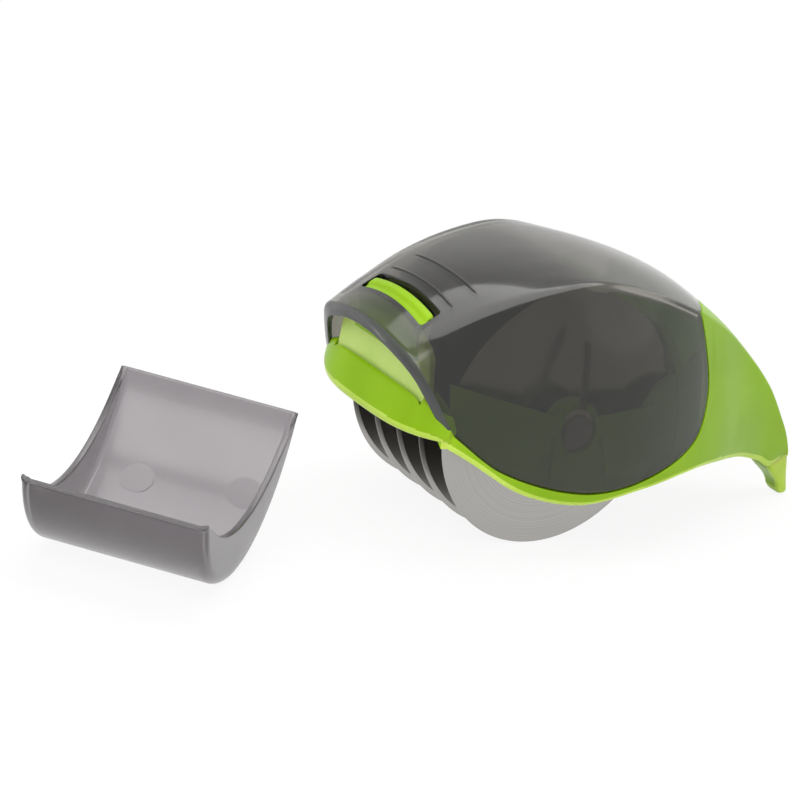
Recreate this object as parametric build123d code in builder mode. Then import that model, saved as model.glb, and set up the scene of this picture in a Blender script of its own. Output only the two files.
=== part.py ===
from build123d import *
import math
import os

# A palm-held rolling herb cutter. Round blades on one axle run in a green frame, whose tail steers the tool and
# touches the table behind them. A smoked cover shields the blades above, and a smoked guard lies beside the tool.
# Millimetres. X runs from the front lip to the tail, Y along the axle, Z up from the table.

# Blades and their axle
blade_radius = 32.0
blade_thickness = 0.5
blade_edge = 0.12
bevel_width = 1.1
blade_count = 5
blade_pitch = 9.8
axle_radius = 3.0
spacer_radius = 9.0
collar_radius = 6.0
cap_radius = 4.0
cap_thickness = 1.2
cap_socket = 0.6
bush_wall = 2.0
press_gap = 0.02
running_gap = 0.05
side_play = 0.3

# Walls of the body and the gaps between its layers
cover_wall = 1.6
frame_wall = 2.0
liner_wall = 1.6
liner_gap = 1.0
roof_gap = 2.4
seam_gap = 0.3

# Outer skin, in cross-sections from the front to the tail. Each row holds the section's place along the tool,
# the roof's height over the axle, its edge's half width, drop and rounding, and the wall's half width
# at the axle's level and at the foot.
body_half_width = 31.3
roof_peak = blade_radius + roof_gap + cover_wall
skirt_depth = blade_radius + 20
wall_level = 0.385
sections = [
    (-58, 11.4, 20.0, 6.8, 13.0, 26.5, 26.0),
    (-46, 19.8, 20.2, 6.3, 13.0, 27.5, 26.8),
    (-36, 25.6, 20.8, 4.6, 11.5, 28.6, 27.5),
    (-24, 31.0, 21.3, 2.8, 7.0, 29.9, 28.3),
    (-10, 34.5, 22.2, 1.7, 3.6, 30.9, 29.0),
    (4, roof_peak, 22.8, 1.3, 2.4, body_half_width, 29.5),
    (20, 34.9, 22.4, 3.2, 2.2, 30.6, 29.0),
    (36, 30.0, 19.8, 3.9, 2.0, 27.4, 26.5),
    (50, 22.2, 14.5, 2.6, 1.8, 22.0, 22.0),
    (62, 14.0, 10.0, 2.2, 1.6, 15.6, 16.6),
    (76, 2.0, 6.8, 1.9, 1.4, 8.7, 9.4),
    (84, -7.8, 5.0, 1.7, 1.2, 5.9, 6.2),
    (89, -15.6, 3.8, 1.3, 1.0, 4.4, 4.5),
    (93, -blade_radius + 5.4, 3.0, 1.0, 0.8, 3.4, 3.4),
    (96, -blade_radius - 3.0, 2.6, 0.8, 0.6, 3.0, 3.0),
]
hollow_sections = 12

# Side view of the seam between cover and frame, the cover's front edge, the rim's lower edge and the tail's tongue
seam_corner = (-36, 1.4)
seam_points = [(-21, -8.2), (2.6, -14.1), (20.6, -12.1), (38.1, -4.5), (42.1, 6), (40.1, 18), (37.6, 26)]
seam_top = (36.6, 36)
seam_steps = 16
front_edge_top = (-56, 36)
rim_nose = (-36.2, -2.4)
rim_points = [
    (-30.3, -5.4),
    (-14.4, -13.8),
    (3.3, -17.1),
    (21.3, -14.4),
    (42.5, -12.0),
    (62.7, -14.6),
    (77.4, -19.2),
    (84.5, -24.0),
]
tongue_front = (89.4, -28.2)
tongue_foot_front = 91.6
tongue_top = -20.6
tongue_inset = 0.6
tongue_root = 85
outline_back = 100
outline_top = 50
outline_half_depth = 45

# Frame inside the cover: side liners dipping to the axle, bearing pedestals and the curved wall behind the blades
liner_front = (-34, 10.5)
liner_dip = (4.2, 3.4)
liner_rear = (23, 5.0)
liner_tail = [(25.7, 9.5), (38.5, 12.9)]
liner_tail_step = 1.2
rim_rear = 38
pedestal_foot = (-6, 15)
pedestal_top = 7.0
bulkhead_gap = 3.0
bulkhead_wall = 2.0
bulkhead_low = -19
bulkhead_high = 46

# Front lip
lip_half_width = 25.5
lip_front = -41.0
lip_bow = 1.2
lip_back = -34.0
lip_top = 5.9
lip_bottom = -3.0
lip_corner = 5.0
lip_rounding = 1.4

# Release latch and its slot in the cover
latch_wall = 1.6
latch_half_width = 18.5
latch_front = -38.8
latch_foot_radius = 1.2
latch_clearance = 0.4
latch_roof_gap = 0.7
latch_bar_half_width = 12.6
latch_bar_depth = 3.2
latch_bar_lead = 0.4
latch_bar_root = 12.0
latch_bar_proud = 0.1
latch_bar_corner = 0.8
slot_front_gap = 0.3
slot_rear_gap = 1.8
slot_end_gap = 0.5
slot_corner = 1.0

# Cover's inner rib over each end of the axle
rib_width = 1.5
rib_low = 6.0
rib_high = 21.0

# Blade guard, lying on the table in front of the tool
guard_radius = 35.5
guard_width = 43.4
guard_wall = 1.5
guard_tip_depth = 1.8
guard_side_depth = 13.3
guard_tall_angle = -9.8
guard_short_angle = -158.2
guard_x = -102.6
guard_y = -11.5
guard_turn = -48.2

axle_height = blade_radius
side_view = Plane((0, 0, axle_height), x_dir=(1, 0, 0), z_dir=(0, -1, 0))
stack_half = (blade_count - 1) / 2 * blade_pitch + blade_thickness / 2
cover_inside = body_half_width - cover_wall
liner_outside = cover_inside - liner_gap
liner_inside = liner_outside - liner_wall
liner_inset = cover_wall + liner_gap
rim_inset = liner_inset + liner_wall
pedestal_inside = stack_half + 3.0
cap_inside = liner_inside + side_play
axle_end = cap_inside + cap_socket
bush_radius = axle_radius + running_gap + bush_wall


def roof_slope(index):
    """Steepness of the roof at one section, from its neighbours."""
    before = sections[max(index - 1, 0)]
    after = sections[min(index + 1, len(sections) - 1)]
    return (after[1] - before[1]) / (after[0] - before[0])


def hull(inset, count=len(sections)):
    """The body's solid outline, taken inwards from the outer skin, over the first sections."""
    with BuildPart() as body:
        for index, (x, rise, edge, drop, rounding, wall, foot) in enumerate(sections[:count]):
            roof = rise - inset * math.hypot(1, roof_slope(index))
            shoulder = roof - drop
            middle = shoulder - wall_level * (shoulder + skirt_depth)
            with BuildSketch(Plane((x, 0, axle_height), x_dir=(0, 1, 0), z_dir=(1, 0, 0))) as section:
                with BuildLine():
                    ThreePointArc((inset - foot, -skirt_depth), (inset - wall, middle), (inset - edge, shoulder))
                    ThreePointArc((inset - edge, shoulder), (0, roof), (edge - inset, shoulder))
                    ThreePointArc((edge - inset, shoulder), (wall - inset, middle), (foot - inset, -skirt_depth))
                    Line((foot - inset, -skirt_depth), (inset - foot, -skirt_depth))
                make_face()
                fillet(section.vertices().sort_by(Axis.Y)[-2:], rounding)
        loft()
    return body.part


def cover_outline(gap):
    """The cover's side view, grown by a gap."""
    seam = Edge.make_spline([Vector(*point) for point in (seam_corner, *seam_points, seam_top)])
    grown = []
    for step in range(seam_steps + 1):
        along = seam.tangent_at(step / seam_steps)
        grown.append(seam.position_at(step / seam_steps) + gap * along.rotate(Axis.Z, -90))
    front = grown[0] - gap * seam.tangent_at(0)
    with BuildSketch() as outline:
        with BuildLine():
            Line(front_edge_top, front)
            if gap:
                Line(front, grown[0])
            Spline(*grown)
            Polyline(grown[-1], (seam_top[0], outline_top), (front_edge_top[0], outline_top), front_edge_top)
        make_face()
    return outline.sketch


def cover_zone(gap):
    """The cover's side view, grown by a gap, as a block across the tool."""
    with BuildPart() as zone:
        with BuildSketch(side_view):
            add(cover_outline(gap))
        extrude(amount=outline_half_depth, both=True)
    return zone.part


def frame_zone():
    """The frame's side view from its rim's lower edge upwards, as a block across the tool."""
    with BuildPart() as zone:
        with BuildSketch(side_view):
            with BuildLine():
                Line(seam_corner, rim_nose)
                Spline(rim_nose, *rim_points, tongue_front)
                Polyline(
                    tongue_front,
                    (tongue_foot_front, -blade_radius),
                    (outline_back, -blade_radius),
                    (outline_back, outline_top),
                    (seam_corner[0], outline_top),
                    seam_corner,
                )
            make_face()
        extrude(amount=outline_half_depth, both=True)
    return zone.part


outer_hull = hull(0)
cover_hull = hull(cover_wall)
frame_hull = hull(frame_wall, hollow_sections)
liner_hull = hull(liner_inset, hollow_sections)
rim_hull = hull(rim_inset, hollow_sections)

# The cover is a shell of the outer skin, open in front and below, with the latch's slot in its front slope.
latch_bar_front = latch_front - latch_bar_lead
slot_front = latch_bar_front - slot_front_gap
slot_length = slot_front_gap + latch_bar_depth + slot_rear_gap
with BuildPart() as cover:
    add(outer_hull)
    add(cover_hull, mode=Mode.SUBTRACT)
    add(cover_zone(0), mode=Mode.INTERSECT)
    with BuildSketch(Plane((slot_front + slot_length / 2, 0, axle_height))):
        RectangleRounded(slot_length, 2 * (latch_bar_half_width + slot_end_gap), slot_corner)
    extrude(amount=outline_top, mode=Mode.SUBTRACT)
with BuildPart() as cover_ribs:
    add(hull(cover_wall - press_gap))
    add(liner_hull, mode=Mode.SUBTRACT)
    with BuildSketch(side_view):
        with Locations((0, (rib_low + rib_high) / 2)):
            Rectangle(rib_width, rib_high - rib_low)
    extrude(amount=outline_half_depth, both=True, mode=Mode.INTERSECT)
with BuildPart() as smoked_cover:
    add(cover.part)
    add(cover_ribs.part)

# Room for the cover in the frame: all of its side view outside the liners, and above the liners' top edge.
with BuildPart() as cover_room:
    add(cover_zone(seam_gap))
    add(liner_hull, mode=Mode.SUBTRACT)
with BuildPart() as liner_room:
    with BuildSketch(side_view):
        add(cover_outline(seam_gap))
        with BuildLine():
            Polyline(
                (liner_front[0], -skirt_depth),
                liner_front,
                (-liner_dip[0], liner_dip[1]),
                liner_dip,
                liner_rear,
                (liner_rear[0], -skirt_depth),
                close=True,
            )
        make_face(mode=Mode.SUBTRACT)
    extrude(amount=outline_half_depth, both=True)

# Frame: a thick rim with liners standing inside the cover, running into a thinner hollow tail.
rear_cut = Plane((rim_rear, 0, 0), z_dir=(1, 0, 0))
frame_block = frame_zone()
with BuildPart() as rim_hollow:
    add(rim_hull)
    split(bisect_by=rear_cut, keep=Keep.BOTTOM)
with BuildPart() as tail_hollow:
    add(frame_hull)
    split(bisect_by=rear_cut, keep=Keep.TOP)
with BuildPart() as tongue_step:
    with BuildSketch(side_view):
        with Locations((tongue_root, tongue_top)):
            Rectangle(outline_back, outline_top, align=(Align.MIN, Align.MAX))
    extrude(amount=outline_half_depth, both=True)
    add(hull(tongue_inset), mode=Mode.SUBTRACT)
with BuildPart() as frame_shell:
    add(outer_hull)
    add(rim_hollow.part, mode=Mode.SUBTRACT)
    add(tail_hollow.part, mode=Mode.SUBTRACT)
    add(frame_block, mode=Mode.INTERSECT)
    add(cover_room.part, mode=Mode.SUBTRACT)
    add(liner_room.part, mode=Mode.SUBTRACT)
    add(tongue_step.part, mode=Mode.SUBTRACT)

# Bearing pedestals rising from the rim to the axle, let into the liners.
with BuildPart() as pedestals:
    with BuildSketch(side_view):
        with BuildLine():
            Polyline(
                (pedestal_foot[0], -blade_radius),
                (-pedestal_top, 0),
                (pedestal_top, 0),
                (pedestal_foot[1], -blade_radius),
                close=True,
            )
        make_face()
        Circle(pedestal_top)
    extrude(amount=outline_half_depth, both=True)
    Box(3 * blade_radius, 2 * pedestal_inside, 4 * blade_radius, mode=Mode.SUBTRACT)
    add(hull(liner_inset + liner_wall / 2, hollow_sections), mode=Mode.INTERSECT)
    add(frame_block, mode=Mode.INTERSECT)

# Inner walls that carry the liners on to the curved wall, set in a little from the cover.
liner_tail_inset = liner_inset + liner_tail_step
with BuildPart() as liner_tails:
    with BuildSketch(side_view):
        with BuildLine():
            Polyline(
                (liner_rear[0] - liner_wall, -skirt_depth),
                (liner_rear[0] - liner_wall, liner_rear[1]),
                *liner_tail,
                (liner_tail[-1][0], -skirt_depth),
                close=True,
            )
        make_face()
    extrude(amount=outline_half_depth, both=True)
    add(hull(liner_tail_inset, hollow_sections - 2), mode=Mode.INTERSECT)
    add(hull(liner_tail_inset + liner_wall, hollow_sections - 2), mode=Mode.SUBTRACT)
    add(frame_block, mode=Mode.INTERSECT)

# Curved wall between the blades and the hollow tail.
with BuildPart() as bulkhead:
    with BuildSketch(side_view):
        with BuildLine():
            near = blade_radius + bulkhead_gap
            far = near + bulkhead_wall
            CenterArc((0, 0), near, bulkhead_low, bulkhead_high - bulkhead_low)
            CenterArc((0, 0), far, bulkhead_low, bulkhead_high - bulkhead_low)
            for angle in (bulkhead_low, bulkhead_high):
                Line(Vector(near, 0).rotate(Axis.Z, angle), Vector(far, 0).rotate(Axis.Z, angle))
        make_face()
    extrude(amount=outline_half_depth, both=True)
    add(liner_hull, mode=Mode.INTERSECT)

# Front lip: a bowed bar across the front of the rim, with a groove in its top for the latch's foot.
latch_pivot_x = latch_front + latch_wall / 2
latch_pivot_z = lip_top - latch_foot_radius / 2
with BuildPart() as lip:
    with BuildSketch(Plane((0, 0, axle_height + lip_bottom))) as outline:
        with BuildLine():
            ThreePointArc(
                (lip_front + lip_bow, -lip_half_width),
                (lip_front, 0),
                (lip_front + lip_bow, lip_half_width),
            )
            Polyline(
                (lip_front + lip_bow, lip_half_width),
                (lip_back, lip_half_width),
                (lip_back, -lip_half_width),
                (lip_front + lip_bow, -lip_half_width),
            )
        make_face()
        fillet(outline.vertices().group_by(Axis.X)[0], lip_corner)
    extrude(amount=lip_top - lip_bottom)
    fillet(lip.faces().filter_by(GeomType.CYLINDER).edges().filter_by(Axis.Z, reverse=True), lip_rounding)
    with BuildSketch(side_view):
        with Locations((latch_pivot_x, latch_pivot_z)):
            Circle(latch_foot_radius + latch_clearance)
            with Locations((0, latch_foot_radius)):
                Rectangle(2 * (latch_foot_radius + latch_clearance), 2 * latch_foot_radius)
    extrude(amount=latch_half_width + latch_clearance, both=True, mode=Mode.SUBTRACT)
    add(cover_room.part, mode=Mode.SUBTRACT)

with BuildPart() as base_frame:
    add(frame_shell.part)
    add(pedestals.part)
    add(liner_tails.part)
    add(bulkhead.part)
    add(lip.part)
    with BuildSketch(side_view):
        Circle(bush_radius + press_gap)
    extrude(amount=outline_half_depth, both=True, mode=Mode.SUBTRACT)

# Release latch: a wall filling the arch behind the lip, rocking on its rounded foot, with a bar up through the slot.
with BuildPart() as latch_bar:
    with BuildSketch(Plane((latch_bar_front + latch_bar_depth / 2, 0, axle_height + latch_bar_root))):
        RectangleRounded(latch_bar_depth, 2 * latch_bar_half_width, latch_bar_corner)
    extrude(amount=outline_top)
    add(hull(-latch_bar_proud), mode=Mode.INTERSECT)
with BuildPart() as release_latch:
    with BuildSketch(Plane((latch_front, 0, axle_height + latch_pivot_z), x_dir=(0, 1, 0), z_dir=(1, 0, 0))):
        Rectangle(2 * latch_half_width, outline_top, align=(Align.CENTER, Align.MIN))
    extrude(amount=latch_wall)
    add(hull(cover_wall + latch_roof_gap), mode=Mode.INTERSECT)
    add(latch_bar.part)
    with BuildSketch(side_view):
        with Locations((latch_pivot_x, latch_pivot_z)):
            Circle(latch_foot_radius)
    extrude(amount=latch_half_width, both=True)

# Blade guard: a curved trough with crescent ends.
guard_middle_angle = (guard_tall_angle + guard_short_angle) / 2
guard_inner_radius = guard_radius - guard_wall
guard_axis = Vector(1, 0, 0).rotate(Axis.Z, guard_turn)
guard_across = Vector(0, 1, 0).rotate(Axis.Z, guard_turn)
guard_plane = Plane((guard_x, guard_y, guard_radius), x_dir=guard_across, z_dir=guard_axis)
guard_depths = (
    (guard_tall_angle, guard_tip_depth),
    (guard_middle_angle, guard_side_depth),
    (guard_short_angle, guard_tip_depth),
)
guard_outer_arc = [Vector(guard_radius, 0).rotate(Axis.Z, angle) for angle, depth in guard_depths]
guard_inner_arc = [Vector(guard_radius - depth, 0).rotate(Axis.Z, angle) for angle, depth in guard_depths]
with BuildPart() as blade_guard:
    with BuildSketch(guard_plane):
        with BuildLine():
            ThreePointArc(*guard_outer_arc)
            ThreePointArc(*guard_inner_arc)
            for outer, inner in ((guard_outer_arc[0], guard_inner_arc[0]), (guard_outer_arc[2], guard_inner_arc[2])):
                Line(outer, inner)
        make_face()
    extrude(amount=guard_width / 2, both=True)
    with BuildSketch(guard_plane):
        Circle(guard_inner_radius)
    extrude(amount=guard_width / 2 - guard_wall, both=True, mode=Mode.SUBTRACT)

os.makedirs("parts", exist_ok=True)
smoked_cover.part.label = "dome_cover"
export_step(smoked_cover.part, "parts/dome_cover.step")
base_frame.part.label = "base_frame"
export_step(base_frame.part, "parts/base_frame.step")
release_latch.part.label = "release_latch"
export_step(release_latch.part, "parts/release_latch.step")
blade_guard.part.label = "blade_guard"
export_step(blade_guard.part, "parts/blade_guard.step")

# Blades, each a thin disc ground to an edge on both faces.
for index in range(blade_count):
    middle = (index - (blade_count - 1) / 2) * blade_pitch
    with BuildPart() as blade:
        with BuildSketch(Plane((0, middle, axle_height))):
            with BuildLine():
                Polyline(
                    (axle_radius + press_gap, -blade_thickness / 2),
                    (blade_radius - bevel_width, -blade_thickness / 2),
                    (blade_radius, -blade_edge / 2),
                    (blade_radius, blade_edge / 2),
                    (blade_radius - bevel_width, blade_thickness / 2),
                    (axle_radius + press_gap, blade_thickness / 2),
                    close=True,
                )
            make_face()
        revolve(axis=Axis((0, middle, axle_height), (0, 1, 0)))
    blade.part.label = f"blade_{index + 1}"
    export_step(blade.part, f"parts/blade_{index + 1}.step")

# Spacers holding the blades apart.
for index in range(blade_count - 1):
    start = (index - (blade_count - 1) / 2) * blade_pitch + blade_thickness / 2
    with BuildPart() as spacer:
        with BuildSketch(side_view.offset(-start)):
            Circle(spacer_radius)
            Circle(axle_radius + press_gap, mode=Mode.SUBTRACT)
        extrude(amount=-(blade_pitch - blade_thickness))
    spacer.part.label = f"spacer_{index + 1}"
    export_step(spacer.part, f"parts/spacer_{index + 1}.step")

# Axle through the stack.
with BuildPart() as axle:
    with BuildSketch(side_view):
        Circle(axle_radius)
    extrude(amount=axle_end, both=True)
axle.part.label = "axle"
export_step(axle.part, "parts/axle.step")

# At each end a collar keeps the stack off the pedestal, a bush carries the axle and a cap closes its end.
for side, name in ((1, "near"), (-1, "far")):
    with BuildPart() as collar:
        with BuildSketch(side_view.offset(side * stack_half)):
            Circle(collar_radius)
            Circle(axle_radius + press_gap, mode=Mode.SUBTRACT)
        extrude(amount=side * (pedestal_inside - side_play - stack_half))
    collar.part.label = f"collar_{name}"
    export_step(collar.part, f"parts/collar_{name}.step")
    with BuildPart() as bush:
        with BuildSketch(side_view.offset(side * pedestal_inside)):
            Circle(bush_radius)
            Circle(axle_radius + running_gap, mode=Mode.SUBTRACT)
        extrude(amount=side * (liner_inside - pedestal_inside))
    bush.part.label = f"bush_{name}"
    export_step(bush.part, f"parts/bush_{name}.step")
    with BuildPart() as cap:
        with BuildSketch(side_view.offset(side * cap_inside)):
            Circle(cap_radius)
        extrude(amount=side * cap_thickness)
        with BuildSketch(side_view.offset(side * cap_inside)):
            Circle(axle_radius + press_gap)
        extrude(amount=side * cap_socket, mode=Mode.SUBTRACT)
    cap.part.label = f"hub_cap_{name}"
    export_step(cap.part, f"parts/hub_cap_{name}.step")
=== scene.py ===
import math

import bpy
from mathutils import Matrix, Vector


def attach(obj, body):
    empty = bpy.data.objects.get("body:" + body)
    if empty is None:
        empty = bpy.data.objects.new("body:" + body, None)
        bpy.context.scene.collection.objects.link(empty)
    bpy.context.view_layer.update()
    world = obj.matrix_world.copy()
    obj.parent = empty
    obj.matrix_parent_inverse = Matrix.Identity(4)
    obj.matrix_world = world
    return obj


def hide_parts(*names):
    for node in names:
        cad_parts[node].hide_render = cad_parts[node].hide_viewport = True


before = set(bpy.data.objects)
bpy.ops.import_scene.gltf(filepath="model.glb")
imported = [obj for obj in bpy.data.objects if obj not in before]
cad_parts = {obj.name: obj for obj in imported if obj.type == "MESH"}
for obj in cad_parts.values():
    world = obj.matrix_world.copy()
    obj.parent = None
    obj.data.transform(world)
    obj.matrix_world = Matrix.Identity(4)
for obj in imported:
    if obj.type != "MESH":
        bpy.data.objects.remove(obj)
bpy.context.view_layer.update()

# Green frame, one injection moulding of tinted polypropylene. A rounded rim runs along both sides under the
# cover, liners stand inside it, and the back closes to a hollow tail that ends in a narrow tongue.
axle_height = 32.0

# The body's skin: place along the tool, roof height, edge half width, edge drop, edge rounding, wall half
# width and foot half width, in mm from the axle's middle.
body_rows = [
    (-58, 11.4, 20.0, 6.8, 13.0, 26.5, 26.0),
    (-46, 19.8, 20.2, 6.3, 13.0, 27.5, 26.8),
    (-36, 25.6, 20.8, 4.6, 11.5, 28.6, 27.5),
    (-24, 31.0, 21.3, 2.8, 7.0, 29.9, 28.3),
    (-10, 34.5, 22.2, 1.7, 3.6, 30.9, 29.0),
    (4, 36.0, 22.8, 1.3, 2.4, 31.3, 29.5),
    (20, 34.9, 22.4, 3.2, 2.2, 30.6, 29.0),
    (36, 30.0, 19.8, 3.9, 2.0, 27.4, 26.5),
    (50, 22.2, 14.5, 2.6, 1.8, 22.0, 22.0),
    (62, 14.0, 10.0, 2.2, 1.6, 15.6, 16.6),
    (76, 2.0, 6.8, 1.9, 1.4, 8.7, 9.4),
    (84, -7.8, 5.0, 1.7, 1.2, 5.9, 6.2),
    (89, -15.6, 3.8, 1.3, 1.0, 4.4, 4.5),
    (93, -26.6, 3.0, 1.0, 0.8, 3.4, 3.4),
    (96, -35.0, 2.6, 0.8, 0.6, 3.0, 3.0),
]
skirt_depth = 52.0
wall_level = 0.385
wall_share, roof_share = 0.5, 0.7


def metres(x, y, z):
    """A place in mm from the axle's middle, in the shared frame."""
    return Vector((x, y, z + axle_height)) / 1000


def read_rows(rows, place):
    """The values at one place, on a smooth curve through the rows, and the first value's steepness."""
    last = len(rows) - 1
    at = max(0, min(last - 1, sum(row[0] <= place for row in rows) - 1))
    begin, end = rows[at], rows[at + 1]
    span = end[0] - begin[0]
    t = (place - begin[0]) / span
    slopes = []
    for index in (at, at + 1):
        before, after = rows[max(index - 1, 0)], rows[min(index + 1, last)]
        slopes.append([(b - a) / (after[0] - before[0]) for a, b in zip(before, after)])
    values = []
    for column in range(1, len(begin)):
        first, second = slopes[0][column] * span, slopes[1][column] * span
        values.append(
            begin[column] * (1 + 2 * t) * (1 - t) ** 2 + first * t * (1 - t) ** 2
            + end[column] * t * t * (3 - 2 * t) + second * t * t * (t - 1)
        )
    return values, slopes[0][1] * (1 - t) + slopes[1][1] * t


def skin_point(x, share, inset=0.0):
    """Half width and height on the skin, from the wall's foot at share 0 to the roof's middle at share 1."""
    (rise, edge, drop, rounding, wall, foot), slope = read_rows(body_rows, x)
    edge, wall, foot = edge - inset, wall - inset, foot - inset
    roof = rise - inset * math.hypot(1, slope)
    shoulder = roof - drop
    tall = shoulder + skirt_depth
    bulge = (wall - foot - (edge - foot) * (1 - wall_level)) / (wall_level * (1 - wall_level))
    down = Vector(((edge - foot - bulge) / -tall, -1)).normalized()
    inward = Vector((-1, 2 * drop / edge)).normalized()
    reach = min(rounding / math.tan(down.angle(inward) / 2), 0.7 * edge)
    wall_end = 1 + reach * down.y / tall
    roof_end = edge + reach * inward.x

    def on_wall(t):
        return Vector((foot + (edge - foot) * t + bulge * t * (1 - t), t * tall - skirt_depth))

    def on_roof(y):
        return Vector((y, roof - drop * (y / edge) ** 2))

    if share <= wall_share:
        return on_wall(wall_end * share / wall_share)
    if share >= roof_share:
        return on_roof(roof_end * (1 - share) / (1 - roof_share))
    t = (share - wall_share) / (roof_share - wall_share)
    corner = Vector((edge, shoulder))
    return on_wall(wall_end) * (1 - t) ** 2 + corner * 2 * t * (1 - t) + on_roof(roof_end) * t * t


def halving(test, low, high):
    """The place where a test turns from true to false."""
    for _ in range(30):
        middle = (low + high) / 2
        if test(middle):
            low = middle
        else:
            high = middle
    return low


def share_at(x, z, inset=0.0):
    """The skin's share at a height."""
    return halving(lambda share: skin_point(x, share, inset).y < z, 0.0, 1.0)


def run_through(points):
    """A smooth line through points of the side view, as a function of its share of the way."""
    rows = [(0.0, *points[0])]
    for before, after in zip(points, points[1:]):
        rows.append((rows[-1][0] + math.dist(before, after), *after))
    return lambda share: read_rows(rows, share * rows[-1][0])[0]


def spaced(count, length, low_edge=True, high_edge=True):
    """Shares of a length in mm, close together towards the edges that are to be rounded."""
    near = [0.0, 0.06, 0.16, 0.32, 0.54, 0.85]
    reach = [distance / max(length, 4 * near[-1]) for distance in near]
    head = reach if low_edge else [0.0]
    tail = [1 - share for share in reversed(reach)] if high_edge else [1.0]
    inner = count + 1 - len(head) - len(tail)
    gap = (tail[0] - head[-1]) / (inner + 1)
    return head + [head[-1] + gap * (step + 1) for step in range(inner)] + tail


def rounding_inset(distance, radius):
    """How far a rounded edge falls back from the skin, at a distance from the edge."""
    return radius - math.sqrt(radius**2 - max(0.0, radius - distance) ** 2)


def draped(name, columns, rows, place, *more):
    """A flat grid laid over a form, its points set by place from their column, row and any more values."""
    bpy.ops.object.select_all(action="DESELECT")
    bpy.ops.mesh.primitive_grid_add(x_subdivisions=columns, y_subdivisions=rows, size=2)
    sheet = bpy.context.object
    sheet.name = sheet.data.name = name
    for vertex in sheet.data.vertices:
        column = round((vertex.co.x + 1) / 2 * columns)
        row = round((vertex.co.y + 1) / 2 * rows)
        vertex.co = place(column, row, *more)
    return sheet


def pick(piece):
    """Selects one piece alone and makes it the active one."""
    bpy.ops.object.select_all(action="DESELECT")
    piece.select_set(True)
    bpy.context.view_layer.objects.active = piece


def apply_modifier(piece, kind, **settings):
    """Adds a modifier to a piece and applies it."""
    pick(piece)
    modifier = piece.modifiers.new(kind, kind)
    for key, value in settings.items():
        setattr(modifier, key, value)
    bpy.ops.object.modifier_apply(modifier=modifier.name)


def turned_outwards(piece):
    """Turns the faces of a closed piece outwards, so that its volume counts as positive."""
    bpy.ops.object.mode_set(mode="EDIT")
    bpy.ops.mesh.select_all(action="SELECT")
    bpy.ops.mesh.normals_make_consistent(inside=False)
    bpy.ops.object.mode_set(mode="OBJECT")
    piece.data.calc_loop_triangles()
    volume = 0.0
    for triangle in piece.data.loop_triangles:
        first, second, third = (piece.data.vertices[index].co for index in triangle.vertices)
        volume += first.dot(second.cross(third))
    if volume < 0:
        bpy.ops.object.mode_set(mode="EDIT")
        bpy.ops.mesh.flip_normals()
        bpy.ops.object.mode_set(mode="OBJECT")


def closed(piece):
    """Joins a piece's meeting points, fills its open ends and turns its faces outwards."""
    pick(piece)
    bpy.ops.object.mode_set(mode="EDIT")
    bpy.ops.mesh.select_all(action="SELECT")
    bpy.ops.mesh.remove_doubles(threshold=1e-6)
    bpy.ops.mesh.fill_holes(sides=0)
    bpy.ops.object.mode_set(mode="OBJECT")
    turned_outwards(piece)


# The seam between frame and cover and the rim's lower line, in the side view. Across the roof the seam leaves
# the ridge and bows back towards the tail.
seam_points = [
    (-36, 1.4), (-21, -8.2), (2.6, -14.1), (20.6, -12.1), (38.1, -4.5), (42.1, 6), (40.1, 18), (37.6, 26),
    (36.6, 36),
]
rim_points = [
    (-36.2, -2.4), (-30.3, -5.4), (-14.4, -13.8), (3.3, -17.1), (21.3, -14.4), (42.5, -12.0),
    (62.7, -14.6), (77.4, -19.2), (82.5, -21.6), (86.5, -21.4), (90.4, -20.5),
]
seam, rim = run_through(seam_points), run_through(rim_points)
seam_gap, seam_step = 0.3, 0.004

# Shares of the seam and the rim at the end of the side, and of the rim below the seam's rear and the tail.
seam_turn, rim_turn = 0.61, 0.615
rim_back, rim_tail = 0.11, 0.275
ridge_level, roof_part, roof_bow = 0.68, 0.6, 11.5


def seam_share(level, end):
    """How far along the seam, up to an end, it comes to a share of the skin."""
    return halving(lambda share: seam(share)[1] < skin_point(seam(share)[0], level).y, seam_turn, end)


crown_from = seam_share(1.0, 1.0)
ridge_from = seam_share(ridge_level, crown_from)


def rear_edge(level):
    """Where the cover's rear edge lies at a share of the skin, with its bow across the roof."""
    way = max(0.0, (level - ridge_level) / (1 - ridge_level))
    return seam(seam_share(level, crown_from))[0] + roof_bow * math.sin(math.radians(90 * way))


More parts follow.
